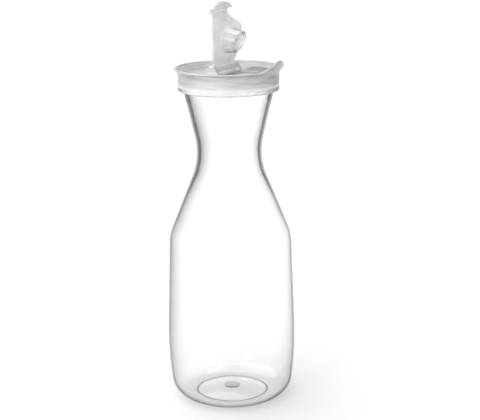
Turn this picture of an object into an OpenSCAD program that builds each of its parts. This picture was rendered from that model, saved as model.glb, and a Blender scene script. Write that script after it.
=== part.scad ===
// One litre carafe in three pieces: a clear moulded body, a push-on lid with a raised
// pouring lip, and a stopper flap that turns on the lid and plugs its pour hole.
// The origin is the centre of the base, +Z is up and the pouring lip faces +X.

/* [Body] */
// Height of the body, from the table to the top of its mouth
body_h = 242.5; // [225:0.5:260]
// Thickness of the side wall
wall = 2; // [1.5:0.1:2.6]
// Thickness of the floor
base_t = 2.4; // [2:0.1:3.5]
// Inner radius of the ring that the body stands on
ring_r = 25.8; // [22:0.1:28]
// How far the floor is pushed up at its centre
push_up = 4.4; // [3:0.1:6]
// Radius of the round gate mark under the floor
gate_r = 6; // [4:0.5:8]
// Height of the gate mark
gate_h = 0.6; // [0.3:0.1:1]
// Radius at which the side would meet the table with no rounding
foot_r = 43.7; // [42:0.1:45]
// Rounding between the base and the side
heel_round = 15.5; // [12:0.5:18]
// Radius at which the two side slopes meet at the belly
belly_r = 48; // [47:0.1:50]
// Height at which they meet
belly_z = 36; // [34:0.5:40]
// Rounding of the belly
belly_round = 284; // [240:1:300]
// Radius at which the side and the shoulder meet
shoulder_r = 44.9; // [44:0.1:46]
// Height at which they meet
shoulder_z = 124.6; // [120:0.5:130]
// Rounding of the shoulder
shoulder_round = 35; // [25:1:50]
// Radius at which the shoulder and the neck cone meet
waist_r = 21.6; // [20:0.1:24]
// Height at which they meet
waist_z = 182.7; // [178:0.5:188]
// Rounding of the waist
waist_round = 50; // [40:1:60]
// Outer radius of the neck cone at the top of the mouth
mouth_r = 35.2; // [34:0.1:36]
// Height of the straight band round the mouth
band_h = 5.5; // [4:0.1:7]
// How far the band stands out from the top of the neck cone
band_out = 0.1; // [0:0.05:0.3]
// Rounding of the mouth's edges
mouth_round = 0.8; // [0.4:0.1:0.9]

/* [Lid] */
// Gap between the mouth's band and the skirt, all round
skirt_gap = 0.2; // [0.1:0.05:0.4]
// Thickness of the skirt
skirt_t = 1.2; // [1:0.1:1.8]
// How far the skirt reaches down below the mouth's top
skirt_drop = 10.6; // [9:0.1:14]
// Gap between the mouth's top and the lid's floor
seat_gap = 0.2; // [0.1:0.05:0.4]
// Thickness of the dish floor
floor_t = 1.6; // [1.2:0.1:2]
// Depth of the dish, from the rim to the floor
dish_depth = 3.6; // [3:0.1:6]
// How far the rim flares out from the skirt
flare = 2.6; // [2:0.1:4]
// Height of the flare below the rim
flare_h = 4.9; // [4:0.1:6]
// Thickness of the rim
rim_t = 1.8; // [1.4:0.1:2.4]
// How far the dish wall runs in from the rim to the floor
dish_slope = 3.8; // [2:0.1:5]
// Depth of the sealing ring that hangs inside the mouth
seal_h = 5; // [4:0.1:7]
// Thickness of the sealing ring
seal_t = 1.2; // [1:0.1:1.6]
// Gap between the sealing ring and the inside of the mouth
seal_gap = 0.3; // [0.2:0.05:0.5]

/* [Pouring lip] */
// Height of the lip above the rim
lip_h = 7; // [5:0.1:8]
// How far the lip leans out over the rim
lip_out = 2.9; // [2:0.1:3.2]
// Half of the lip's width
lip_half_w = 19; // [15:0.5:24]

/* [Hinge] */
// How far the hinge line lies behind the axis of the body
hinge_back = 4.2; // [2:0.1:6]
// Height of the hinge line above the dish floor
hinge_h = 3; // [2.9:0.05:3.4]
// Distance between the two ears
ear_gap = 29.2; // [27:0.1:31]
// Thickness of an ear
ear_t = 2.8; // [2.4:0.1:3.4]
// Radius of an ear round the pin
ear_r = 3.1; // [2.8:0.1:3.6]
// Half of an ear's width at the floor
ear_foot = 6; // [5:0.1:6.5]
// Radius of the pins
pin_r = 1.4; // [1.1:0.05:1.5]
// Running gap between a pin and its bore
pin_gap = 0.05; // [0.03:0.01:0.08]
// How far a pin reaches into its ear
pin_len = 1.6; // [1.2:0.1:1.8]
// Radius of the barrel between the ears
barrel_r = 2.5; // [2.1:0.05:2.6]

/* [Flap] */
// How far the flap is turned up from level in the modelled position
open_angle = 83; // [80:0.5:84]
// Length of the flap from the hinge line to its tip
flap_len = 46.9; // [46:0.1:48]
// Thickness of the flap
flap_t = 1.8; // [1.5:0.1:2]
// Half width of the flap above the ears
flap_foot_w = 16.8; // [15:0.1:18]
// Half width of the flap at its widest
flap_wide_w = 21.3; // [18:0.1:22]
// Distance of the widest place from the hinge line
flap_wide_s = 29; // [28:0.1:31]
// Half width of the neck behind the thumb tab
flap_neck_w = 11; // [9:0.1:12]
// Distance of the neck from the hinge line
flap_neck_s = 37.6; // [37:0.1:39]
// Half width of the thumb tab
tab_w = 12.6; // [11.5:0.1:14]
// How far the thumb tab stands above the rest of the flap
tab_rise = 8.2; // [7.5:0.1:9]
// Distance from the hinge line at which the flap starts to rise to the tab
bend_s = 26.6; // [26:0.1:30]
// Distance from the hinge line at which it has risen to the tab
bend_end_s = 40.7; // [40:0.1:42]
// Depth of the beak under the thumb tab
beak_h = 3.1; // [2:0.1:3.4]

/* [Plug] */
// Outer radius of the plug at the flap
plug_r = 9.5; // [8.5:0.1:10]
// Outer radius of the plug at its full depth
plug_end_r = 8.1; // [7.5:0.1:8.4]
// Thickness of the plug's wall
plug_t = 1.1; // [0.9:0.1:1.5]
// Distance of the plug's centre from the hinge line
plug_s = 20.5; // [20:0.1:21.5]
// Depth of the plug on the side of the hinge
plug_short = 7.5; // [6:0.1:9]
// Depth of the plug on the side of the thumb tab
plug_long = 12.8; // [11:0.1:13.5]
// Gap between the plug's path and the edge of the pour hole
hole_gap = 0.4; // [0.3:0.05:0.8]

/* [Hidden] */
$fn = 96;
// A cut runs this far past the solid that it cuts
over = 1;
// Room between the barrel and each ear
side_gap = 0.3;
// Room past the end of each pin
end_gap = 0.2;
// Room between the closed flap and the front flanks of the ears
flank_gap = 0.4;
// Angle that the arc of the lid's flare turns through
flare_angle = 75;
// Power by which the sides of the flap swell towards its widest place
swell = 1.6;
// Place of the thumb tab's widest part, between the neck and the tip
tab_wide_share = 0.37;
// Place of the beak, between the end of the rise and the tip
beak_place_share = 0.2;
// Number of steps in the arcs of the body
heel_steps = 12;
side_steps = 8;
waist_steps = 14;
// Number of steps in a small rounding and in a longer curve
round_steps = 6;
curve_steps = 10;
// Colours as they look in daylight
clear_plastic = [0.86, 0.89, 0.9, 0.45];
milky_plastic = [0.93, 0.94, 0.94];
flap_plastic = [0.88, 0.89, 0.9];

// Heights in the lid
seat_z = body_h + seat_gap;
floor_z = seat_z + floor_t;
rim_z = floor_z + dish_depth;
skirt_z = body_h - skirt_drop;
// Radii in the lid
band_r = mouth_r + band_out;
skirt_in = band_r + skirt_gap;
skirt_out = skirt_in + skirt_t;
rim_r = skirt_out + flare;
rim_in = rim_r - rim_t;
dish_r = rim_in - dish_slope;
small_round = skirt_t / 2;
// The hinge line
hinge_x = -hinge_back;
hinge_z = floor_z + hinge_h;
bore_r = pin_r + pin_gap;
bore_depth = pin_len + end_gap;
barrel_half = ear_gap / 2 - side_gap;

// Slope of the neck cone, outwards with height
neck_slope = (mouth_r - waist_r) / (body_h - waist_z);

// Point on the straight line from a to b
function mix(a, b, share) = a + (b - a) * share;
// Smooth step from 0 to 1
function ease(share) = (1 - cos(180 * share)) / 2;
function flat(lists) = [for (list = lists) each list];
// The point q turned about the point c by an angle
function turned(q, c, angle) = [
    c.x + (q.x - c.x) * cos(angle) - (q.y - c.y) * sin(angle),
    c.y + (q.x - c.x) * sin(angle) + (q.y - c.y) * cos(angle)
];

// Points of an arc
function arc(centre, radius, from, to, steps) = [
    for (i = [0:steps]) let (angle = mix(from, to, i / steps))
        centre + radius * [cos(angle), sin(angle)]
];

// A corner of an outline, rounded by an arc that touches both of its sides. The points
// lie "inset" to the left of the way along the outline, so that the inner face of a wall
// comes from the same corners as the outer one.
function round_corner(a, p, b, radius, steps, inset = 0) =
    let (
        along_in = (p - a) / norm(p - a),
        along_out = (b - p) / norm(b - p),
        bend = asin(along_in.x * along_out.y - along_in.y * along_out.x),
        side = sign(bend),
        tangent = radius * tan(abs(bend) / 2),
        start = p - along_in * tangent,
        centre = start + side * radius * [-along_in.y, along_in.x],
        first = start + inset * [-along_in.y, along_in.x]
    )
    [for (i = [0:steps]) turned(first, centre, bend * i / steps)];

// Corners of the side of the body, from the table up to the mouth
foot_p = [foot_r, 0];
belly_p = [belly_r, belly_z];
shoulder_p = [shoulder_r, shoulder_z];
waist_p = [waist_r, waist_z];
mouth_p = [mouth_r, body_h];

// The side of the body, moved inwards by inset
function side_path(inset) = flat([
    round_corner([0, 0], foot_p, belly_p, heel_round, heel_steps, inset),
    round_corner(foot_p, belly_p, shoulder_p, belly_round, side_steps, inset),
    round_corner(belly_p, shoulder_p, waist_p, shoulder_round, side_steps, inset),
    round_corner(shoulder_p, waist_p, mouth_p, waist_round, waist_steps, inset)
]);

// The pushed-up middle of the floor, as a shallow dome from its centre to the ring
function dome(raise) = [
    for (i = [0:side_steps]) let (share = i / side_steps)
        [ring_r * share, raise + push_up * (1 - pow(share, 2))]
];

// Half of the body's section, from the centre of the floor round to the mouth and back
function body_section() =
    let (
        in_r = mouth_r - wall,
        round_z = body_h - mouth_round,
        band_foot = [mouth_r - neck_slope * (band_h + band_out), body_h - band_h - band_out],
        inner = side_path(wall),
        floor_dome = dome(base_t)
    )
    flat([
        dome(0),
        side_path(0),
        [band_foot, [band_r, body_h - band_h + band_r - band_foot.x]],
        arc([band_r - mouth_round, round_z], mouth_round, 0, 90, round_steps),
        arc([in_r + mouth_round, round_z], mouth_round, 90, 180, round_steps),
        [for (i = [len(inner) - 1:-1:heel_steps + 1]) inner[i]],
        [for (i = [heel_steps:-1:0]) [inner[i].x, max(inner[i].y, base_t)]],
        [for (i = [side_steps:-1:0]) floor_dome[i]]
    ]);

module carafe_body() {
    color(clear_plastic) {
        rotate_extrude() polygon(body_section());
        translate([0, 0, push_up - gate_h])
            cylinder(r = gate_r, h = gate_h + base_t / 2);
    }
}

// Half of the lid's section: skirt, flared rim, dish and the sealing ring under it
function lid_section() =
    let (
        flare_z = rim_z - flare_h,
        edge = rim_t / 2,
        flare_arc = arc([0, 0], 1, 0, flare_angle, side_steps),
        flare_end = flare_arc[side_steps],
        seal_top = mouth_r - wall / cos(atan(neck_slope)) - seal_gap,
        seal_foot = seal_top - neck_slope * seal_h
    )
    flat([
        [[0, seat_z], [seal_foot - seal_t, seat_z], [seal_foot - seal_t, seat_z - seal_h]],
        [[seal_foot, seat_z - seal_h], [seal_top, seat_z], [skirt_in, seat_z]],
        arc([skirt_in + small_round, skirt_z + small_round], small_round, 180, 360, round_steps),
        [for (p = flare_arc) [mix(skirt_out, rim_r, (1 - p.x) / (1 - flare_end.x)),
            mix(flare_z, rim_z - edge, p.y / flare_end.y)]],
        [for (p = arc([rim_r - edge, rim_z - edge], edge, 0, 180, round_steps)) if (p.x < rim_r) p],
        [for (i = [1:curve_steps]) let (share = i / curve_steps)
            [mix(rim_in, dish_r, share), mix(rim_z - edge, floor_z, ease(share))]],
        [[0, floor_z]]
    ]);

// Height of the pouring lip above the rim, at a distance from its middle
function lip_height(y) = lip_h * pow(cos(90 * y / lip_half_w), 2);

// The wall of the pouring lip, which goes on from the rim and leans outwards
module lip_wall() {
    lean = lip_out / lip_h;
    foot = rim_t / 2 + dish_depth / 4;
    intersection() {
        rotate_extrude() polygon([
            [rim_in - lean * foot, rim_z - foot],
            [rim_r - lean * foot, rim_z - foot],
            [rim_r + lip_out, rim_z + lip_h],
            [rim_in + lip_out, rim_z + lip_h]
        ]);
        translate([0, 0, rim_z]) rotate([90, 0, 90])
            linear_extrude(rim_r + lip_out + over) polygon(flat([
                [[lip_half_w, -foot - over], [-lip_half_w, -foot - over]],
                [for (i = [-curve_steps:curve_steps]) let (y = lip_half_w * i / curve_steps)
                    [y, lip_height(y)]]
            ]));
    }
}

// An ear is a disc round the pin, on a foot whose flanks touch the disc at this point
flank_lean = acos(ear_r / norm([ear_foot, hinge_h])) - atan2(hinge_h, ear_foot);
flank_top = ear_r * [cos(flank_lean), sin(flank_lean)];

module ear_outline() {
    circle(r = ear_r);
    polygon([
        [-ear_foot, -hinge_h - floor_t / 2], [ear_foot, -hinge_h - floor_t / 2],
        [ear_foot, -hinge_h], flank_top, [-flank_top.x, flank_top.y], [-ear_foot, -hinge_h]
    ]);
}

// The plug swings about the hinge line, so the pour hole follows the path of its walls
plug_foot_s = plug_s - plug_r;
plug_reach = norm([plug_s + plug_end_r, flap_t / 2 + plug_long]);
hole_far = sqrt(pow(plug_reach, 2) - pow(hinge_h, 2)) + hole_gap;
hole_near = plug_foot_s - hole_gap;
hole_r = (hole_far - hole_near) / 2;
hole_x = hinge_x + (hole_far + hole_near) / 2;

module lid() {
    color(milky_plastic) difference() {
        union() {
            rotate_extrude() polygon(lid_section());
            lip_wall();
            for (side = [-1, 1])
                translate([hinge_x, side * (ear_gap + ear_t) / 2, hinge_z]) rotate([90, 0, 0])
                    linear_extrude(ear_t, center = true) ear_outline();
        }
        translate([hole_x, 0, seat_z - over]) cylinder(r = hole_r, h = floor_t + 2 * over);
        for (side = [-1, 1])
            translate([hinge_x, side * (ear_gap / 2 - over), hinge_z]) rotate([-90 * side, 0, 0])
                cylinder(r = bore_r, h = over + bore_depth);
    }
}

// The flap widens where it has passed the ears, and its thumb tab ends in half an ellipse
ear_clear_s = flank_gap + mix(flank_top.x, ear_foot,
    (flank_top.y + flap_t / 2) / (flank_top.y + hinge_h));
ear_chamfer_s = ear_clear_s + flap_t;
tab_s = mix(flap_neck_s, flap_len, tab_wide_share);

// One side of the flap's outline, from the hinge line to the tip
function flap_edge() = flat([
    [[0, barrel_half], [ear_clear_s, barrel_half]],
    [for (i = [0:curve_steps]) let (share = i / curve_steps)
        [mix(ear_chamfer_s, flap_wide_s, share), mix(flap_foot_w, flap_wide_w, pow(share, swell))]],
    [for (i = [1:curve_steps]) let (share = i / curve_steps)
        [mix(flap_wide_s, flap_neck_s, share), mix(flap_wide_w, flap_neck_w, ease(share))]],
    [for (i = [1:round_steps]) let (share = i / round_steps)
        [mix(flap_neck_s, tab_s, share), mix(flap_neck_w, tab_w, ease(share))]],
    [for (i = [1:side_steps]) let (angle = 90 * i / side_steps)
        [mix(tab_s, flap_len, sin(angle)), tab_w * cos(angle)]]
]);

module flap_outline() {
    edge = flap_edge();
    polygon(flat([
        edge,
        [for (i = [len(edge) - 2:-1:0]) [edge[i].x, -edge[i].y]]
    ]));
}

// The flap from the side: level over the plug, then up to the thumb tab and its beak
beak_s = mix(bend_end_s, flap_len, beak_place_share);
rise = [for (i = [0:curve_steps]) let (share = i / curve_steps)
    [mix(bend_s, bend_end_s, share), tab_rise * ease(share)]];

module flap_profile() {
    half = flap_t / 2;
    under_tab = tab_rise - half;
    beak_z = under_tab - beak_h;
    beak_tip_s = beak_s + flap_t / 4;
    polygon(flat([
        [[0, -half]],
        [for (p = rise) [p.x, p.y - half]],
        [[beak_s - flap_t / 4, under_tab - beak_h / 2], [beak_s, beak_z]],
        [for (p = arc([0, 0], 1, 0, 90, round_steps))
            [mix(beak_tip_s, flap_len, p.y), mix(beak_z, under_tab - half, 1 - p.x)]],
        [for (p = arc([0, 0], 1, 0, 90, round_steps))
            if (p.y > 0) [mix(bend_end_s, flap_len, p.x), mix(under_tab - half, tab_rise + half, p.y)]],
        [for (i = [curve_steps - 1:-1:0]) [rise[i].x, rise[i].y + half]],
        [[0, half]]
    ]));
}

// The hollow plug under the flap, cut off on a slant at its open end
module plug() {
    half = flap_t / 2;
    long = half + plug_long;
    short = half + plug_short;
    slant = (long - short) / (2 * plug_r);
    side_w = 2 * plug_r + 2 * over;
    difference() {
        intersection() {
            translate([plug_s, 0, 0]) rotate_extrude() polygon([
                [0, -long], [plug_end_r, -long], [plug_r, -half], [plug_r, tab_rise], [0, tab_rise]
            ]);
            rotate([90, 0, 0]) linear_extrude(side_w, center = true)
                polygon(flat([[[0, -long - over], [0, 0]], rise, [[bend_end_s, -long - over]]]));
        }
        translate([plug_s, 0, -long - over]) cylinder(r = plug_end_r - plug_t, h = 2 * over);
        translate([plug_s, 0, -long])
            cylinder(r1 = plug_end_r - plug_t, r2 = plug_r - plug_t, h = long - half);
        translate([plug_s, 0, 0]) rotate([90, 0, 0]) linear_extrude(side_w, center = true) polygon([
            [-plug_r - over, -short + slant * over],
            [plug_r + over, -long - slant * over],
            [-plug_r - over, -long - 2 * over]
        ]);
    }
}

// The flap as it lies when level, with the hinge line at the origin
module level_flap() {
    intersection() {
        rotate([90, 0, 0]) linear_extrude(2 * flap_wide_w + 2 * over, center = true) flap_profile();
        translate([0, 0, -flap_len]) linear_extrude(2 * flap_len) flap_outline();
    }
    rotate([90, 0, 0]) cylinder(r = barrel_r, h = 2 * barrel_half, center = true);
    rotate([90, 0, 0]) cylinder(r = pin_r, h = ear_gap + 2 * pin_len, center = true);
    plug();
}

module flap() {
    color(flap_plastic)
        translate([hinge_x, 0, hinge_z]) rotate([0, -open_angle, 0]) level_flap();
}

carafe_body();
lid();
flap();
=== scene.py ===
"""A clear waisted carafe with a push-on lid and a stopper flap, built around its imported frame."""

import logging
import math
from dataclasses import dataclass, field
from enum import Enum
from typing import Any, Callable

import bmesh
import bpy
import numpy as np
from mathutils import Matrix, Vector


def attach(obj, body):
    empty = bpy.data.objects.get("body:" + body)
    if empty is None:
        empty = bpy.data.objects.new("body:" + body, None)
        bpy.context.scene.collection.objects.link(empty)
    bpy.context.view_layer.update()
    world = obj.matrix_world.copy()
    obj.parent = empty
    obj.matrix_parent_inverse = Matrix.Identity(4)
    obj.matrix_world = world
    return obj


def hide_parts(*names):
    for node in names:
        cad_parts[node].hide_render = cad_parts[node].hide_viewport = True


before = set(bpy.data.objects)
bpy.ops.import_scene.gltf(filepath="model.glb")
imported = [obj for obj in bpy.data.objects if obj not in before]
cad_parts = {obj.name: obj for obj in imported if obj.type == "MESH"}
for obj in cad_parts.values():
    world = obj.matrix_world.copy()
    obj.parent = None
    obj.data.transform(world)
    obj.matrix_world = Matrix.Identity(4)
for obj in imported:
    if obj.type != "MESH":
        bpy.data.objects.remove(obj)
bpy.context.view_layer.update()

Point = tuple[float, float]
Path = list[Point]
Field = np.ndarray

# Sizes are written in millimetres, as on a moulder's drawing, and the frame is in metres
MM = 0.001
# Vertex attribute of the clear wall, which places the painted shade in its colour. X is how far it faces away
# from the eye on the line of sight that grazes its inner face, Y how narrow the painted grey inside that line
# is, and Z how dark it is painted
WALL_EDGE = "wall_edge"
# X of WALL_EDGE that no line of sight reaches, where no painted grey shows
NO_EDGE = 2.0
# Z of WALL_EDGE that makes up for the root that the shader takes of its colour at each face
PLAIN_TONE = 2.0
# Vertex attribute of the milky plastic, its tone and clearness: 0 gives its darkest colour, 1 its lightest
# milky one, and
# 1.1 where it is clear. The darker tones stand partly for thicker walls and partly are painted shade, set
# place by place, and some shaded places are raised as painted light
TONE_AND_CLEARNESS = "tone_and_clearness"
# Slack in the tests of which face a point is on
NEAR = 0.1
LOG = logging.getLogger("carafe")


class Body(Enum):
    """The moving bodies of the frame."""

    CARAFE = "carafe"
    LID = "lid"
    FLAP = "flap"


class Carving(Enum):
    """What a tool does to a mesh."""

    ADD = "UNION"
    TAKE = "DIFFERENCE"


def mix(a: float, b: float, share: float) -> float:
    """The value that lies a share of the way from a to b."""
    return a + (b - a) * share


def ease(share: float) -> float:
    """A smooth step from 0 to 1."""
    return (1 - math.cos(math.pi * share)) / 2


def ramp(value: float, start: float, stop: float) -> float:
    """0 up to start, 1 from stop on, and even in between."""
    return min(max((value - start) / (stop - start), 0), 1)


def shares(steps: int, first: int = 0) -> list[float]:
    """Even shares from first / steps up to 1."""
    return [i / steps for i in range(first, steps + 1)]


def arc(centre: Point, radius: float, start: float, stop: float, steps: int) -> Path:
    """Points on an arc.

    Args:
        centre: Centre of the arc.
        radius: Its radius.
        start: Its first angle, in degrees.
        stop: Its last angle, in degrees.
        steps: Number of steps along it.

    Returns:
        The points from start to stop.
    """
    angles = [math.radians(mix(start, stop, s)) for s in shares(steps)]
    return [(centre[0] + radius * math.cos(a), centre[1] + radius * math.sin(a)) for a in angles]


def rounded(corners: Path, radii: list[float], inset: float, steps: int) -> Path:
    """A path through corners, with each inner corner rounded and the whole moved inwards.

    Args:
        corners: The corners, the first and the last of which aren't rounded or given back.
        radii: The radius at each inner corner, before the move.
        inset: How far the path is moved to its left.
        steps: Number of steps in each rounding.

    Returns:
        The points of the roundings.
    """
    path: Path = []
    for before, corner, after, radius in zip(corners, corners[1:], corners[2:], radii):
        a, p, b = Vector(before), Vector(corner), Vector(after)
        along, leaving = (p - a).normalized(), (b - p).normalized()
        bend = math.asin(along.x * leaving.y - along.y * leaving.x)
        left = Vector((-along.y, along.x))
        start = p - along * radius * math.tan(abs(bend) / 2)
        centre = start + left * math.copysign(radius, bend)
        for share in shares(steps):
            turned = Matrix.Rotation(bend * share, 2) @ (start + left * inset - centre)
            path.append(tuple(centre + turned))
    return path


def refined(path: Path, longest: float) -> Path:
    """Adds points to a path.

    Args:
        path: The path.
        longest: Length that no step of the new path passes.

    Returns:
        The path with more points.
    """
    fine = path[:1]
    for a, b in zip(path, path[1:]):
        steps = max(1, math.ceil(math.dist(a, b) / longest))
        fine += [(mix(a[0], b[0], s), mix(a[1], b[1], s)) for s in shares(steps, 1)]
    return fine


def mesh_object(name: str, vertices: Any, faces: Any) -> bpy.types.Object:
    """A mesh object in the scene, from points in millimetres.

    Args:
        name: Name of the object.
        vertices: Its points.
        faces: The corners of each of its faces.

    Returns:
        The object, with its faces turned outwards.
    """
    mesh = bpy.data.meshes.new(name)
    mesh.from_pydata([tuple(float(c) * MM for c in v) for v in vertices], [], faces)
    work = bmesh.new()
    work.from_mesh(mesh)
    bmesh.ops.remove_doubles(work, verts=work.verts, dist=1e-7)
    bmesh.ops.recalc_face_normals(work, faces=work.faces)
    work.to_mesh(mesh)
    work.free()
    thing = bpy.data.objects.new(name, mesh)
    bpy.context.scene.collection.objects.link(thing)
    return thing


def mark(thing: bpy.types.Object, name: str, value_at: Callable[[Any, Any], Any]) -> None:
    """Stores a vertex attribute.

    Args:
        thing: The mesh object.
        name: Name of the attribute.
        value_at: Gives the value, a number or three, from a vertex's place, in millimetres, and its normal.
    """
    values = [value_at(vertex.co / MM, vertex.normal) for vertex in thing.data.vertices]
    kind, setting = ("FLOAT_VECTOR", "vector") if isinstance(values[0], tuple) else ("FLOAT", "value")
    layer = thing.data.attributes.new(name, kind, "POINT")
    for item, value in zip(layer.data, values):
        setattr(item, setting, value)


def smooth(thing: bpy.types.Object, sharp_from: float) -> None:
    """Shades a mesh smooth, with a hard edge wherever it bends by more than sharp_from degrees."""
    thing.data.shade_smooth()
    thing.data.set_sharp_from_angle(angle=math.radians(sharp_from))


def revolve(
    name: str, section: Path, steps: int, shape: Callable[[Point, float], Point] | None = None
) -> bpy.types.Object:
    """A solid of revolution about the Z axis.

    Args:
        name: Name of the object.
        section: Half of the section, which starts and ends on the axis or goes all round.
        steps: Number of steps round the axis.
        shape: Moves a point of the section by the angle that it stands at, or None.

    Returns:
        The closed mesh.
    """
    vertices: list[tuple[float, float, float]] = []
    rings: list[list[int]] = []
    for point in section:
        first = len(vertices)
        if point[0] < 1e-6:
            vertices.append((0.0, 0.0, point[1]))
            rings.append([first] * steps)
            continue
        for i in range(steps):
            angle = 2 * math.pi * i / steps
            radius, height = shape(point, angle) if shape else point
            vertices.append((radius * math.cos(angle), radius * math.sin(angle), height))
        rings.append(list(range(first, first + steps)))
    pairs = list(zip(rings, rings[1:]))
    if section[0][0] > 1e-6:
        pairs.append((rings[-1], rings[0]))
    faces = []
    for low, high in pairs:
        for i in range(steps):
            j = (i + 1) % steps
            loop = [low[i], low[j], high[j], high[i]]
            faces.append(tuple(dict.fromkeys(loop)))
    return mesh_object(name, vertices, faces)


def carve(thing: bpy.types.Object, tool: bpy.types.Object, carving: Carving) -> None:
    """Adds a tool to a mesh or takes it away, and then deletes the tool.

    Args:
        thing: The mesh that changes.
        tool: The closed mesh that it is changed by.
        carving: Whether the tool is added or taken away.
    """
    step = thing.modifiers.new("carve", "BOOLEAN")
    step.operation, step.object, step.solver = carving.value, tool, "EXACT"
    graph = bpy.context.evaluated_depsgraph_get()
    thing.data = bpy.data.meshes.new_from_object(thing.evaluated_get(graph))
    thing.modifiers.clear()
    bpy.data.objects.remove(tool)


# The next functions work on fields: the distance to a surface at many points, negative inside


def outline_field(x: Field, y: Field, corners: Path) -> Field:
    """Distance in a plane to a closed outline.

    Args:
        x: First coordinate of each point.
        y: Second coordinate of each point.
        corners: Corners of the outline.

    Returns:
        The distance at each point, negative inside.
    """
    nearest = np.full(np.broadcast(x, y).shape, np.inf)
    inside = np.zeros(nearest.shape, bool)
    for (ax, ay), (bx, by) in zip(corners, corners[1:] + corners[:1]):
        dx, dy = bx - ax, by - ay
        along = np.clip(((x - ax) * dx + (y - ay) * dy) / (dx * dx + dy * dy), 0, 1)
        nearest = np.minimum(nearest, (x - ax - dx * along) ** 2 + (y - ay - dy * along) ** 2)
        if ay != by:
            inside ^= ((ay > y) != (by > y)) & (x < ax + (y - ay) / dy * dx)
    return np.where(inside, -1, 1) * np.sqrt(nearest)


def both(a: Field, b: Field, radius: float) -> Field:
    """Where two fields overlap, with the edge between them rounded to a radius."""
    past_a, past_b = np.maximum(a + radius, 0), np.maximum(b + radius, 0)
    return np.minimum(np.maximum(a, b), -radius) + np.hypot(past_a, past_b)


def either(a: Field, b: Field, radius: float) -> Field:
    """Two fields joined, with a fillet of a radius in the corner between them."""
    near_a, near_b = np.maximum(radius - a, 0), np.maximum(radius - b, 0)
    return np.maximum(np.minimum(a, b), radius) - np.hypot(near_a, near_b)


@dataclass
class SurfaceNet:
    """Turns a field into a mesh of even four-sided faces.

    Attributes:
        field_of: Gives the field at points x, y, z.
        low: Lowest corner of the grid.
        high: Highest corner of the grid.
        step: Distance between grid points.
    """

    field_of: Callable[[Field, Field, Field], Field]
    low: tuple[float, float, float]
    high: tuple[float, float, float]
    step: float

    def corners(self) -> tuple[np.ndarray, np.ndarray]:
        """Works the field out on a grid.

        Returns:
            The lowest grid point, and the field at every grid point.
        """
        axes = [np.arange(a, b + self.step, self.step) for a, b in zip(self.low, self.high)]
        x, y, z = np.meshgrid(*axes, indexing="ij", sparse=True)
        values = np.broadcast_to(self.field_of(x, y, z), tuple(len(a) for a in axes))
        return np.array([a[0] for a in axes]), np.array(values)

    def build(self) -> tuple[np.ndarray, np.ndarray]:
        """Finds the surface, with a point in each cell of the grid that it passes through.

        Returns:
            The points of the mesh, and the four corners of each of its faces.
        """
        origin, values = self.corners()
        inside = values < 0
        cells = tuple(n - 1 for n in values.shape)
        total, count = np.zeros(cells + (3,)), np.zeros(cells)
        offsets = [(i, j, k) for i in (0, 1) for j in (0, 1) for k in (0, 1)]

        def at(grid: np.ndarray, offset: tuple[int, int, int]) -> np.ndarray:
            """The grid's value at one corner of each cell."""
            return grid[tuple(slice(o, o + n) for o, n in zip(offset, cells))]

        for a in offsets:
            for b in offsets:
                if sum(b) - sum(a) != 1 or any(q < p for p, q in zip(a, b)):
                    continue
                crosses = at(inside, a) != at(inside, b)
                start, stop = at(values, a)[crosses], at(values, b)[crosses]
                share = (start / (start - stop))[:, None]
                total[crosses] += np.array(a) + share * (np.array(b) - np.array(a))
                count[crosses] += 1
        used = count > 0
        number = np.full(cells, -1)
        number[used] = np.arange(used.sum())
        points = (np.argwhere(used) + total[used] / count[used][:, None]) * self.step + origin
        faces = []
        for axis in range(3):
            along = [slice(None)] * 3
            along[axis] = slice(0, -1)
            after = list(along)
            after[axis] = slice(1, None)
            edge = inside[tuple(along)] != inside[tuple(after)]
            i = np.argwhere(edge)
            u, v = [n for n in range(3) if n != axis]
            i = i[(i[:, u] > 0) & (i[:, v] > 0)]
            ring = []
            for du, dv in ((1, 1), (0, 1), (0, 0), (1, 0)):
                cell = i.copy()
                cell[:, u] -= du
                cell[:, v] -= dv
                ring.append(number[tuple(cell.T)])
            faces.append(np.stack(ring, 1))
        return self.settled(points), np.concatenate(faces)

    def settled(self, points: np.ndarray) -> np.ndarray:
        """Moves points exactly on to the surface.

        Args:
            points: Points near it.

        Returns:
            The moved points.
        """
        small = self.step / 50
        for _ in range(3):
            x, y, z = points.T
            here = self.field_of(x, y, z)
            slope = np.stack([
                self.field_of(x + small, y, z) - here,
                self.field_of(x, y + small, z) - here,
                self.field_of(x, y, z + small) - here,
            ], 1) / small
            size = np.maximum((slope**2).sum(1), 0.2)
            move = slope * (here / size)[:, None]
            points = points - np.clip(move, -self.step, self.step)
        return points


# Colours and finishes


def linear(code: str) -> tuple[float, float, float, float]:
    """Turns an sRGB colour to a linear one.

    Args:
        code: The colour as a hex code such as #D8DADA.

    Returns:
        Its linear red, green and blue, and an alpha of 1.
    """
    parts = [int(code[i:i + 2], 16) / 255 for i in (1, 3, 5)]
    red, green, blue = [c / 12.92 if c <= 0.04045 else ((c + 0.055) / 1.055) ** 2.4 for c in parts]
    return red, green, blue, 1.0


def add_node(
    tree: bpy.types.NodeTree, kind: str, inputs: dict[str | int, Any] | None = None, **settings: Any
) -> bpy.types.Node:
    """Adds a node, with its settings, its values and its links.

    Args:
        tree: The node tree.
        kind: Type of the node, without its ShaderNode prefix.
        inputs: A value or another node's output for each input, by name or number.
        **settings: The node's own settings.

    Returns:
        The new node.
    """
    node = tree.nodes.new("ShaderNode" + kind)
    for name, value in settings.items():
        setattr(node, name, value)
    for name, value in (inputs or {}).items():
        if isinstance(value, bpy.types.NodeSocket):
            tree.links.new(value, node.inputs[name])
        else:
            node.inputs[name].default_value = value
    return node


def new_material(name: str) -> bpy.types.Material:
    """Makes an empty node material.

    Args:
        name: Its name.

    Returns:
        The material.
    """
    material = bpy.data.materials.new(name)
    material.use_nodes = True
    material.node_tree.nodes.clear()
    return material


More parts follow.
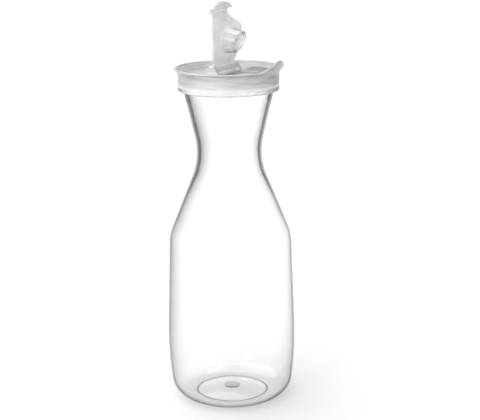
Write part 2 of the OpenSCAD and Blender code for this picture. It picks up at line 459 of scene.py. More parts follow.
def set_stops(node: bpy.types.Node, stops: list[tuple[float, tuple[float, ...]]]) -> None:
    """Sets the stops of a colour ramp.

    Args:
        node: The colour ramp.
        stops: Place and colour of each stop, in order, with the first at 0.
    """
    elements = node.color_ramp.elements
    for place, _ in stops[1:-1]:
        elements.new(place)
    for element, (place, colour) in zip(elements, stops):
        element.position, element.color = place, colour


def with_light_through(
    tree: bpy.types.NodeTree, surface: bpy.types.NodeSocket, shade: str, clear: bool = False
) -> bpy.types.NodeSocket:
    """A surface that lets part of the light through, so that its shadow stays light.

    Args:
        tree: The node tree.
        surface: The shader that the surface has otherwise.
        shade: Colour of the light that gets through.
        clear: Whether the light of the room goes straight through too, and not the lamps' alone.

    Returns:
        The shader.
    """
    through = add_node(tree, "BsdfTransparent", {"Color": linear(shade)})
    ray = add_node(tree, "LightPath")
    lights = ray.outputs["Is Shadow Ray"]
    if clear:
        matt = add_node(tree, "Math", {0: ray.outputs["Diffuse Depth"], 1: 0.5}, operation="GREATER_THAN")
        lights = add_node(tree, "Math", {0: lights, 1: matt.outputs[0]}, operation="MAXIMUM").outputs[0]
    return add_node(tree, "MixShader", {"Fac": lights, 1: surface, 2: through.outputs[0]}).outputs[0]


@dataclass(frozen=True)
class ClearPolycarbonate:
    """Clear polycarbonate, blown into a polished mould.

    The polish gives sharp reflections, and the blowing leaves the wall very slightly wavy, so that
    what is seen through it shimmers. Seen edge-on, the wall looks grey, which is painted shade in its colour.
    """

    name: str = "clear_polycarbonate_blown"
    ior: float = 1.585
    # Painted shade: the wall's colour, standing in for what it shows of a dim room, by how far it turns
    # from the eye past the line of sight that grazes its inner face: white face-on, darkest on that line, and
    # lighter again at the outline
    painted_edge_shades: tuple[tuple[float, str], ...] = (
        (-0.65, "#FFFFFF"), (-0.5, "#FAFAFA"), (-0.4, "#F4F4F4"), (-0.3, "#E9E9E9"), (-0.2, "#DADADA"),
        (-0.12, "#C4C4C4"), (-0.06, "#BABABA"), (-0.02, "#5C5C5C"), (0.05, "#4C4C4C"), (0.12, "#707070"),
        (0.2, "#B0B0B0"), (0.3, "#CCCCCC"),
    )
    # Length of the waves that blowing leaves in the wall
    wave: float = 22.0
    wave_depth: float = 0.035
    # Handling leaves faint patches that are less polished
    patch: float = 9.0
    polish: float = 0.012
    dull: float = 0.05
    # Share of the light that each face lets through
    shadow: str = "#F0F0F0"

    def build(self) -> bpy.types.Material:
        """Builds the material.

        Returns:
            The material.
        """
        material = new_material(self.name)
        tree = material.node_tree
        place = add_node(tree, "TexCoord").outputs["Object"]
        waves = add_node(tree, "TexNoise", {
            "Vector": place, "Scale": 1 / (self.wave * MM), "Detail": 2.0, "Roughness": 0.4,
        })
        bump = add_node(tree, "Bump", {
            "Strength": 1.0, "Distance": self.wave_depth * MM, "Height": waves.outputs["Fac"],
        })
        patches = add_node(tree, "TexNoise", {"Vector": place, "Scale": 1 / (self.patch * MM), "Detail": 5.0})
        roughness = add_node(tree, "MapRange", {
            "Value": patches.outputs["Fac"], "From Min": 0.45, "From Max": 0.75,
            "To Min": self.polish, "To Max": self.dull,
        })
        # Painted shade: the colour greys where the wall turns away from the eye
        facing = add_node(tree, "LayerWeight", {"Blend": 0.5}).outputs["Facing"]
        stored = add_node(tree, "Attribute", attribute_name=WALL_EDGE).outputs["Vector"]
        edge = add_node(tree, "SeparateXYZ", {0: stored})
        past = add_node(tree, "Math", {0: facing, 1: edge.outputs["X"]}, operation="SUBTRACT").outputs[0]
        narrow = add_node(tree, "Math", {0: past, 1: edge.outputs["Y"]}, operation="MULTIPLY").outputs[0]
        # The narrowing is for the painted grey inside the line, and leaves what is past it as it is
        placed = add_node(tree, "Math", {0: narrow, 1: past}, operation="MINIMUM").outputs[0]
        # The ramp starts at 0, and the tones start before the line
        before = -self.painted_edge_shades[0][0]
        moved = add_node(tree, "Math", {0: placed, 1: before}, operation="ADD").outputs[0]
        tones = add_node(tree, "ValToRGB", {"Fac": moved})
        set_stops(tones, [(at + before, linear(tone)) for at, tone in self.painted_edge_shades])
        # The shader takes the root of its colour at each face
        tint = add_node(tree, "Gamma", {"Color": tones.outputs["Color"], "Gamma": edge.outputs["Z"]})
        plastic = add_node(tree, "BsdfPrincipled", {
            "Base Color": tint.outputs["Color"], "Roughness": roughness.outputs["Result"],
            "IOR": self.ior, "Transmission Weight": 1.0, "Normal": bump.outputs["Normal"],
        })
        surface = with_light_through(tree, plastic.outputs[0], self.shadow, clear=True)
        add_node(tree, "OutputMaterial", {"Surface": surface})
        return material


@dataclass(frozen=True)
class MilkyPolypropylene:
    """Natural polypropylene, injection moulded against a satin tool.

    Light goes into it and spreads, so that thin walls glow and thick ones look milky. Its colour is also
    painted darker and lighter from place to place, which is painted shade and painted light. The satin of
    the tool leaves a fine grain, and the flow of the melt leaves faint cloudy bands.
    """

    name: str
    roughness: float = 0.22
    # Its colour, and the share of light that goes straight through, at the lowest and highest tone: the dark
    # colour stands partly for thick plastic and partly is painted shade
    thick: str = "#6A6B6B"
    thin: str = "#FAFBFB"
    through_thick: float = 0.12
    through_thin: float = 0.95
    # How much thicker it looks along a wall than straight through it, where it is milky and clear: less
    # clear, and darker, which is painted shade
    along: float = 0.2
    along_clear: float = 0.95
    # How much the clouds of the melt change the colour
    cloudiness: float = 0.3
    # How far light spreads in it
    spread: float = 2.2
    # Size of the clouds that the melt leaves, and how flat they are drawn out
    cloud: float = 14.0
    flatness: float = 1.0
    # Grain of the satin tool, which is drawn coarser than the real 0.1 mm so that it shows
    grain: float = 0.35
    grain_depth: float = 0.0015
    ior: float = 1.49
    # Share of the lamps' light that each face lets through
    shadow: str = "#E4E4E4"

    def build(self) -> bpy.types.Material:
        """Builds the material.

        Returns:
            The material.
        """
        material = new_material(self.name)
        tree = material.node_tree
        place = add_node(tree, "TexCoord").outputs["Object"]
        flow = add_node(tree, "Mapping", {"Vector": place, "Scale": (1.0, 1.0, self.flatness)}).outputs[0]
        clouds = add_node(tree, "TexNoise", {
            "Vector": flow, "Scale": 1 / (self.cloud * MM), "Detail": 4.0, "Distortion": 0.6,
        })
        # Where the eye looks along a wall, more plastic is in the way, which makes it less clear and, as
        # painted shade, darker; this shows most where it is clear
        facing = add_node(tree, "LayerWeight", {"Blend": 0.5}).outputs["Facing"]
        along = add_node(tree, "MapRange", {"Value": facing, "From Min": 0.2, "From Max": 0.7}).outputs[0]
        straight = add_node(tree, "Attribute", attribute_name=TONE_AND_CLEARNESS).outputs["Fac"]
        most = add_node(tree, "MapRange", {
            "Value": straight, "From Min": 1.0, "From Max": 1.06,
            "To Min": self.along, "To Max": self.along_clear,
        }).outputs[0]
        less = add_node(tree, "Math", {0: along, 1: most}, operation="MULTIPLY").outputs[0]
        tone_and_clearness = add_node(tree, "Math", {0: straight, 1: less}, operation="SUBTRACT").outputs[0]
        cloud = add_node(tree, "MapRange", {
            "Value": clouds.outputs["Fac"], "From Min": 0.3, "From Max": 0.7,
            "To Min": -self.cloudiness / 2, "To Max": self.cloudiness / 2,
        }).outputs[0]
        tone = add_node(tree, "Math", {0: tone_and_clearness, 1: cloud}, operation="ADD").outputs[0]
        # Inputs 6 and 7 of a colour mix are its two colours
        tones = {"Factor": tone, 6: linear(self.thick), 7: linear(self.thin)}
        colour = add_node(tree, "Mix", tones, data_type="RGBA")
        satin = add_node(tree, "TexNoise", {"Vector": place, "Scale": 1 / (self.grain * MM), "Detail": 2.0})
        gloss = add_node(tree, "MapRange", {
            "Value": satin.outputs["Fac"], "From Min": 0.3, "From Max": 0.7,
            "To Min": self.roughness - 0.05, "To Max": self.roughness + 0.07,
        })
        bump = add_node(tree, "Bump", {"Distance": self.grain_depth * MM, "Height": satin.outputs["Fac"]})
        through = add_node(tree, "MapRange", {
            "Value": tone_and_clearness, "From Min": 1.0, "From Max": 1.1,
            "To Min": self.through_thick, "To Max": self.through_thin,
        })
        plastic = add_node(tree, "BsdfPrincipled", {
            "Base Color": colour.outputs[2], "Roughness": gloss.outputs["Result"], "IOR": self.ior,
            "Transmission Weight": through.outputs["Result"], "Subsurface Weight": 1.0,
            "Subsurface Radius": (1.0, 1.0, 1.0), "Subsurface Scale": self.spread * MM,
            "Normal": bump.outputs["Normal"],
        })
        surface = with_light_through(tree, plastic.outputs[0], self.shadow)
        add_node(tree, "OutputMaterial", {"Surface": surface})
        return material


@dataclass(frozen=True)
class PaperSweep:
    """The matt white paper that the carafe stands on, which shows white and keeps the shadow."""

    name: str = "matt_white_paper"
    colour: str = "#F6F6F6"

    def build(self) -> bpy.types.Material:
        """Builds the material.

        Returns:
            The material.
        """
        material = new_material(self.name)
        matt = {"Base Color": linear(self.colour), "Roughness": 1.0, "Specular IOR Level": 0.0}
        paper = add_node(material.node_tree, "BsdfPrincipled", matt)
        add_node(material.node_tree, "OutputMaterial", {"Surface": paper.outputs[0]})
        return material


# The pieces


@dataclass
class CarafeBody:
    """The clear body: a waisted shell with a pushed-up floor and a straight band at its mouth."""

    height: float = 242.5
    wall: float = 2.0
    # Blowing leaves the wall thin at the belly and thick at the neck: thickness by height
    walls: tuple[Point, ...] = (
        (0.0, 1.4), (20.0, 1.0), (120.0, 1.0), (150.0, 1.6), (175.0, 2.7), (222.0, 2.8), (234.0, 2.0),
    )
    floor: float = 1.4
    ring_radius: float = 25.8
    seat_radius: float = 28.5
    seat_step: float = 0.05
    push_up: float = 4.4
    gate_radius: float = 6.0
    gate_height: float = 0.6
    foot: Point = (43.7, 0.0)
    belly: Point = (48.0, 36.0)
    shoulder: Point = (44.9, 124.6)
    waist: Point = (21.6, 182.7)
    mouth_radius: float = 35.2
    roundings: tuple[float, ...] = (15.5, 284.0, 35.0, 50.0)
    band_height: float = 5.5
    band_out: float = 0.1
    mouth_round: float = 0.8
    # Painted shade: the neck's edge is painted darker and greyer on one side
    # The neck's edge looks darker and greyer on the side that is to the left in the photograph: the
    # direction of that side, the height from which it shows and the one from which it shows in full
    dark_side: Point = (-0.866, -0.5)
    dark_from: float = -20.0
    dark_full: float = 125.0
    # How much darker that side's edge is painted at the neck, and how much narrower the painted grey is there
    # on both sides and on the other side
    dark_more: float = 0.7
    neck_narrow: float = 0.15
    bright_narrow: float = 0.75
    # Height up to which the heel, and not the side, is what the line of sight grazes
    heel_height: float = 5.0
    # X of WALL_EDGE on the heel, which places the painted shade of the edge there
    heel_edge: float = 0.76
    # Half the width of the painted dark line that a steep little step in the floor shows as
    line_half: float = 0.3
    # X of WALL_EDGE on the line round the gate mark, on that of the ring, on that of the seat's step
    # and on the gate mark itself: painted dark lines on the floor and a painted darker gate mark, all painted
    # shade
    gate_line: float = 0.18
    ring_line: float = 0.22
    seat_line: float = 0.4
    gate_tone: float = 0.3
    # The mesh lies this far inside the frame's faces, so that it stays in the frame's box
    shrink: float = 0.02
    arc_steps: int = 28
    turn_steps: int = 224

    @property
    def neck_slope(self) -> float:
        """How much the neck widens for each millimetre that it rises."""
        return (self.mouth_radius - self.waist[0]) / (self.height - self.waist[1])

    def side(self, inset: float) -> Path:
        """The side from the table to the mouth.

        Args:
            inset: How far it is moved inwards.

        Returns:
            The points of its roundings.
        """
        mouth = (self.mouth_radius, self.height)
        corners = [(0.0, 0.0), self.foot, self.belly, self.shoulder, self.waist, mouth]
        return rounded(corners, list(self.roundings), inset, self.arc_steps)

    def wall_at(self, z: float) -> float:
        """Thickness of the wall.

        Args:
            z: Height above the table.

        Returns:
            The thickness at that height.
        """
        for (low, thin), (high, thick) in zip(self.walls, self.walls[1:]):
            if z < high:
                return mix(thin, thick, ease(ramp(z, low, high)))
        return self.walls[-1][1]

    def inside(self) -> Path:
        """The inner face, with the wall's own thickness at each height.

        Returns:
            Its points from the floor to the mouth.
        """
        path = refined(self.side(0.0) + [(self.mouth_radius, self.height)], 2.0)
        inner = []
        for before, point, after in zip(path, path[1:], path[2:]):
            along = (Vector(after) - Vector(before)).normalized()
            thick = self.wall_at(point[1])
            inner.append((point[0] - along.y * thick, max(point[1] + along.x * thick, self.floor)))
        return inner + [(self.mouth_radius - self.wall_at(self.height), self.height - 2 * self.mouth_round)]

    def dome(self, raised: float, flat: float) -> Path:
        """One face of the pushed-up floor.

        Args:
            raised: Height of its edge.
            flat: Radius of the middle that is left out.

        Returns:
            Its points from the middle to the ring.
        """
        near = [self.ring_radius - self.line_half * k for k in (2, 1)] + [self.gate_radius + self.line_half]
        radii = sorted([self.ring_radius * s for s in shares(self.arc_steps)] + near)
        return [(r, raised + self.push_up * (1 - (r / self.ring_radius) ** 2)) for r in radii if r >= flat]

    def gate(self) -> Path:
        """The round gate mark in the middle of the floor.

        Returns:
            Its points from the middle out, with a soft edge.
        """
        foot = self.push_up * (1 - (self.gate_radius / self.ring_radius) ** 2)
        low = self.push_up - self.gate_height
        edge = (foot - low) / 2
        soft_edge = arc((self.gate_radius - edge, low + edge), edge, -90, 0, steps=6)
        return [(0.0, low)] + soft_edge + [(self.gate_radius, foot)]

    def section(self) -> Path:
        """Half of the body's section.

        Returns:
            Its points from the middle of the floor round to the mouth and back inside.
        """
        band, band_foot = self.mouth_radius + self.band_out, self.height - self.band_height
        inner = self.mouth_radius - self.wall
        top, round_off = self.height - self.mouth_round, self.mouth_round
        foot_radius = self.mouth_radius - self.neck_slope * (self.band_height + self.band_out)
        line, step = self.line_half, self.seat_step
        outside = refined(self.side(self.shrink) + [(foot_radius, band_foot - self.band_out)], 2.0)
        outside = [(r, z + step * (r > self.seat_radius) * (z < step)) for r, z in outside]
        seat = [(self.ring_radius + line * k, 0.0) for k in (1, 2)]
        seat += [(self.seat_radius - line, 0.0), (self.seat_radius, step), (self.seat_radius + line, step)]
        return (
            refined(self.gate(), 1.0) + self.dome(0.0, self.gate_radius + line / 2) + seat + outside
            + [(band, band_foot + band - foot_radius)]
            + arc((band - round_off, top), round_off, 0, 90, steps=6)
            + arc((inner + round_off, top), round_off, 90, 180, steps=6)
            + list(reversed(self.inside()))
            + list(reversed(self.dome(self.floor, 0.0)))
        )

    def floor_edge(self, radius: float) -> float:
        """X of WALL_EDGE on the underside of the floor, where small steps get painted dark lines, which are
        painted shade.

        Args:
            radius: Distance from the axis.

        Returns:
            The value at that radius.
        """
        lines = (
            (self.gate_radius, self.gate_line), (self.ring_radius, self.ring_line),
            (self.seat_radius, self.seat_line),
        )
        edges = [mix(tone, NO_EDGE, ramp(abs(radius - at), 0, 1.5 * self.line_half)) for at, tone in lines]
        return min(edges + [self.gate_tone] * (radius < self.gate_radius))

    def mark_edges(self, piece: bpy.types.Object) -> None:
        """Stores the painted shade that the wall gets where a line of sight runs along it.

        Args:
            piece: The body's mesh object.
        """
        path = refined(self.side(0.0) + [(self.mouth_radius, self.height)], 1.0)
        heights = [z for _, z in path]
        radii = [r for r, _ in path]

        def edge_at(place: Vector, normal: Vector) -> tuple[float, float, float]:
            """WALL_EDGE at a point of the body.

            Args:
                place: The point.
                normal: Direction that the surface faces there.

            Returns:
                The three values of the attribute.
            """
            radius = math.hypot(place.x, place.y)
            outside = float(np.interp(place.z, heights, radii))
            if radius < self.seat_radius + self.line_half and place.z < self.push_up:
                return self.floor_edge(radius), 1.0, PLAIN_TONE
            if radius < outside - 4 * NEAR and place.z > 3 * NEAR:
                return NO_EDGE, 1.0, PLAIN_TONE
            share = 1 - self.wall_at(max(place.z, 2 * self.heel_height)) / max(outside, 1.0)
            side = 1 - math.hypot(normal.x, normal.y) * math.sqrt(1 - share**2)
            heel = 1 - ramp(place.z, self.heel_height, 2 * self.heel_height)
            towards = place.x * self.dark_side[0] + place.y * self.dark_side[1]
            dark = (1 + towards / max(radius, 1.0)) / 2
            high = ease(ramp(place.z, self.dark_from, self.dark_full))
            narrow = 1 + (self.neck_narrow * high + self.bright_narrow * (1 - dark)) * high
            return mix(side, self.heel_edge, heel), narrow, PLAIN_TONE + self.dark_more * dark * high**2

        mark(piece, WALL_EDGE, edge_at)

    def build(self) -> bpy.types.Object:
        """Builds the piece, dresses it and sets it on its body.

        Returns:
            The piece.
        """
        piece = revolve("clear_shell", self.section(), self.turn_steps)
        self.mark_edges(piece)
        smooth(piece, 35)
        piece.data.materials.append(ClearPolycarbonate().build())
        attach(piece, Body.CARAFE.value)
        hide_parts("carafe_body")
        return piece


@dataclass
class Lid:
    """The push-on lid: skirt, flared rim, dish, pour hole, pouring lip and the two hinge ears."""

    body: CarafeBody
    skirt_gap: float = 0.2
    skirt: float = 1.2
    skirt_drop: float = 10.6
    seat_gap: float = 0.2
    floor: float = 1.6
    dish_depth: float = 3.6
    flare: float = 2.6
    flare_height: float = 4.9
    flare_angle: float = 75.0
    rim: float = 1.8
    dish_slope: float = 3.8
    seal_height: float = 5.0
    seal: float = 1.2
    seal_gap: float = 0.3
    lip_height: float = 7.0
    lip_out: float = 2.9
    lip_half_width: float = 19.0
    hinge_back: float = 4.2
    hinge_height: float = 3.0
    ear_gap: float = 29.2
    ear: float = 2.8
    ear_radius: float = 3.1
    ear_foot: float = 6.0
    bore_radius: float = 1.45
    bore_depth: float = 1.8
    hole_radius: float = 10.685
    hole_x: float = 17.085
    edge_round: float = 0.45
    corner: float = 0.3
    # Angle above level at which the round edge of the rim starts and ends
    rim_from: float = 8.0
    turn_steps: int = 288
    # Tone and clearness at the foot of the skirt, below and above the end of the mouth's band, and on the
    # flare: the greyer foot, upper skirt and flare are painted shade, and the low skirt is clear
    skirt_foot: float = 0.45
    low_skirt: float = 1.08
    high_skirt: float = 0.68
    flare_tone: float = 0.56
    # Heights over which the skirt goes from the one to the other, and then to the flare
    skirt_fade: float = 3.0
    flare_fade: float = 2.0
    # Tone of the sealing ring, the rim and the edge of the hole, the inner face of the lip and the ears: the
    # light sealing ring and ears and the lighter edge of the hole are painted light, and the darker inner
    # face of the lip is painted shade
    seal_tone: float = 0.95
    rim_tone: float = 0.6
    lip_tone: float = 0.4
    ear_tone: float = 0.84
    # Tone of the dish next to the hinge, behind it and before it, half the length over which the
    # last two meet, and how far from the hinge the first starts to fade and ends. The dark dish is painted
    # shade, darkest before the hinge, and the lighter dish next to the hinge is painted light
    hinge_tone: float = 0.9
    back_tone: float = 0.5
    front_tone: float = 0.12
    dish_fade: float = 3.0
    hinge_fade: Point = (3.5, 10.5)

    @property
    def seat_z(self) -> float:
        """Height of the underside of the dish floor."""
        return self.body.height + self.seat_gap

    @property
    def floor_z(self) -> float:
        """Height of the dish floor."""
        return self.seat_z + self.floor

    @property
    def rim_z(self) -> float:
        """Height of the rim."""
        return self.floor_z + self.dish_depth

    @property
    def skirt_in(self) -> float:
        """Inner radius of the skirt."""
        return self.body.mouth_radius + self.body.band_out + self.skirt_gap

    @property
    def rim_radius(self) -> float:
        """Outer radius of the rim."""
        return self.skirt_in + self.skirt + self.flare

    @property
    def flare_z(self) -> float:
        """Height at which the skirt starts to flare."""
        return self.rim_z - self.flare_height

    @property
    def dish(self) -> float:
        """Radius of the level floor of the dish."""
        return self.rim_radius - self.rim - self.dish_slope

    @property
    def ear_lean(self) -> float:
        """Angle above level of the point where the side of an ear leaves its round top."""
        reach = math.hypot(self.ear_foot, self.hinge_height)
        return math.acos(self.ear_radius / reach) - math.atan2(self.hinge_height, self.ear_foot)

    @property
    def hinge(self) -> Point:
        """Place of the hinge line, along X and up."""
        return -self.hinge_back, self.floor_z + self.hinge_height

    def section(self) -> Path:
        """Half of the lid's section, without the lip.

        Returns:
            Its points from the middle of the underside round to the middle of the dish.
        """
        body, slope, corner = self.body, self.body.neck_slope, self.corner
        seal_top = body.mouth_radius - body.wall * math.hypot(1, slope) - self.seal_gap
        seal_foot, seal_z = seal_top - slope * self.seal_height, self.seat_z - self.seal_height
        seal_in, tip = seal_foot - self.seal, self.seal * 0.4
        half, edge = self.skirt / 2, self.rim / 2
        skirt_out, rim_low = self.skirt_in + self.skirt, self.rim_z - edge
        # The flare is part of a circle, stretched to the place of the rim
        turn = arc((0, 0), 1, 0, self.flare_angle, steps=14)
        far, up = 1 - turn[-1][0], turn[-1][1]
        return (
            [(0.0, self.seat_z), (seal_in - corner, self.seat_z), (seal_in, self.seat_z - corner)]
            + arc((seal_in + tip, seal_z + tip), tip, 180, 360, steps=8)
            + [(seal_top, self.seat_z - corner), (seal_top + corner, self.seat_z)]
            + [(self.skirt_in - corner, self.seat_z), (self.skirt_in, self.seat_z - corner)]
            + arc((self.skirt_in + half, body.height - self.skirt_drop + half), half, 180, 360, steps=12)
            + [
                (mix(skirt_out, self.rim_radius, (1 - c) / far), mix(self.flare_z, rim_low, s / up))
                for c, s in turn
            ]
            + arc((self.rim_radius - edge, rim_low), edge, self.rim_from, 180 - self.rim_from, steps=14)
            + [
                (mix(self.rim_radius - self.rim, self.dish, s), mix(rim_low, self.floor_z, ease(s)))
                for s in shares(18)
            ]
            + [(self.hole_x + self.hole_radius + 2, self.floor_z), (0.0, self.floor_z)]
        )

    def lifted(self, point: Point, angle: float) -> Point:
        """A point of the section where it stands, raised and leaned outwards by the pouring lip.

        Args:
            point: Radius and height in the section.
            angle: Angle about the axis, 0 at the middle of the lip.

        Returns:
            The moved radius and height.
        """
        radius, height = point
        across = self.rim_radius * math.sin(angle)
        foot = self.rim_z - self.rim / 2 - self.dish_depth / 4
        beside = math.cos(angle) <= 0 or abs(across) >= self.lip_half_width
        if beside or height < foot or radius < self.skirt_in:
            return point
        rise = self.lip_height * math.cos(math.pi / 2 * across / self.lip_half_width) ** 2
        share = min((height - foot) / (self.rim_z - self.rim / 2 - foot), 1)
        return radius + self.lip_out / self.lip_height * rise * share, height + rise * share

    def tone_and_clearness(self, place: Vector, normal: Vector) -> float:
        """Tone and clearness of the lid: clear low in the skirt, and milkier in the rim and the dish, with
        painted shade and painted light in places.

        Args:
            place: A point of the lid.
            normal: Direction that the surface faces there.

        Returns:
            The value there.
        """
        radius = math.hypot(place.x, place.y)
        seam = self.body.height - self.body.band_height
        # The foot of the skirt, its upper part and the flare are painted greyer, which is painted shade
        if place.z < self.body.height - self.skirt_drop + self.edge_round:
            return self.skirt_foot
        if radius > self.skirt_in - NEAR and place.z < self.rim_z - self.rim / 2:
            above = ramp(place.z, seam - 0.6 * self.skirt_fade, seam + 0.4 * self.skirt_fade)
            flared = ramp(place.z, self.flare_z, self.flare_z + self.flare_fade)
            return mix(mix(self.low_skirt, self.high_skirt, above), self.flare_tone, flared)
        # The sealing ring is painted light
        if place.z < self.seat_z - NEAR:
            return self.seal_tone
        # The inner face of the lip is painted darker than the rim, which is painted shade
        if radius > self.dish + NEAR:
            inward = normal.x * place.x + normal.y * place.y < 0
            return self.lip_tone if inward and place.z > self.rim_z + 2 * NEAR else self.rim_tone
        # The ears are painted light
        if place.z > self.floor_z + 3 * NEAR:
            return self.ear_tone
        # The edge of the hole is painted lighter than the dish, a painted highlight
        if math.hypot(place.x - self.hole_x, place.y) < self.hole_radius + 4 * NEAR:
            return self.rim_tone
        # Painted shade on the dish, darkest before the hinge, and painted light next to the hinge
        ends = mix(self.back_tone, self.front_tone, ramp(place.x, -self.dish_fade, self.dish_fade))
        return mix(self.hinge_tone, ends, ramp(abs(place.x - self.hinge[0]), *self.hinge_fade))

    def ear_mesh(self, side: int) -> bpy.types.Object:
        """A hinge ear: a disc round the pin on a spreading foot, with softened edges.

        Args:
            side: 1 for the ear towards +Y, or -1 for the other.

        Returns:
            The closed mesh.
        """
        lean, foot, floor = math.degrees(self.ear_lean), self.ear_foot, -self.hinge_height
        low = floor - self.floor / 2
        outline = arc((0, 0), self.ear_radius, lean, 180 - lean, steps=20)
        outline += [(-foot, floor), (-foot, low), (foot, low), (foot, floor)]
        x, z = self.hinge
        inner, outer = side * self.ear_gap / 2, side * (self.ear_gap / 2 + self.ear)
        count = len(outline)
        vertices = [(x + px, y, z + pz) for y in (inner, outer) for px, pz in outline]
        faces = [tuple(range(count)), tuple(range(count, 2 * count))]
        faces += [(i, (i + 1) % count, (i + 1) % count + count, i + count) for i in range(count)]
        ear = mesh_object("ear", vertices, faces)
        work = bmesh.new()
        work.from_mesh(ear.data)
        rims = [e for e in work.edges if abs(e.verts[0].co.y - e.verts[1].co.y) < 1e-6]
        bmesh.ops.bevel(work, geom=rims, offset=self.edge_round * MM, segments=3, profile=0.5, affect="EDGES")
        work.to_mesh(ear.data)
        work.free()
        return ear

    def bore(self, side: int) -> bpy.types.Object:
        """The blind bore for a hinge pin.

        Args:
            side: 1 for the ear towards +Y, or -1 for the other.

        Returns:
            The closed mesh to take away.
        """
        x, z = self.hinge
        radius, deep = self.bore_radius, self.bore_depth
        tool = revolve("bore", [(0.0, -1.0), (radius, -1.0), (radius, deep), (0.0, deep)], steps=32)
        place = Matrix.Translation(Vector((x, side * self.ear_gap / 2, z)) * MM)
        tool.data.transform(place @ Matrix.Rotation(-side * math.pi / 2, 4, "X"))
        return tool

    def hole(self) -> bpy.types.Object:
        """The pour hole, with rounded edges above and below the floor.

        Returns:
            The closed mesh to take away.
        """
        soft, wide = self.edge_round, self.hole_radius + self.edge_round
        below, above = self.seat_z - 1.0, self.floor_z + 1.0
        side = arc((wide, self.seat_z + soft), soft, 270, 180, steps=5)
        side += arc((wide, self.floor_z - soft), soft, 180, 90, steps=5)
        section = [(0.0, below), (wide, below)] + side + [(wide, above), (0.0, above)]
        tool = revolve("hole", section, steps=96)
        tool.data.transform(Matrix.Translation((self.hole_x * MM, 0, 0)))
        return tool

    def build(self) -> bpy.types.Object:
        """Builds the piece, dresses it and sets it on its body.

        Returns:
            The piece.
        """
        section = self.section()
        piece = revolve("lid_shell", refined(section + section[:1], 2.0)[:-1], self.turn_steps, self.lifted)
        for side in (-1, 1):
            carve(piece, self.ear_mesh(side), Carving.ADD)
        carve(piece, self.hole(), Carving.TAKE)
        for side in (-1, 1):
            carve(piece, self.bore(side), Carving.TAKE)
        smooth(piece, 32)
        mark(piece, TONE_AND_CLEARNESS, self.tone_and_clearness)
        piece.data.materials.clear()
        finish = MilkyPolypropylene(
            "milky_polypropylene_lid", roughness=0.1, spread=0.9, cloud=20.0, flatness=9.0
        )
        piece.data.materials.append(finish.build())
        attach(piece, Body.LID.value)
        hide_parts("lid")
        return piece


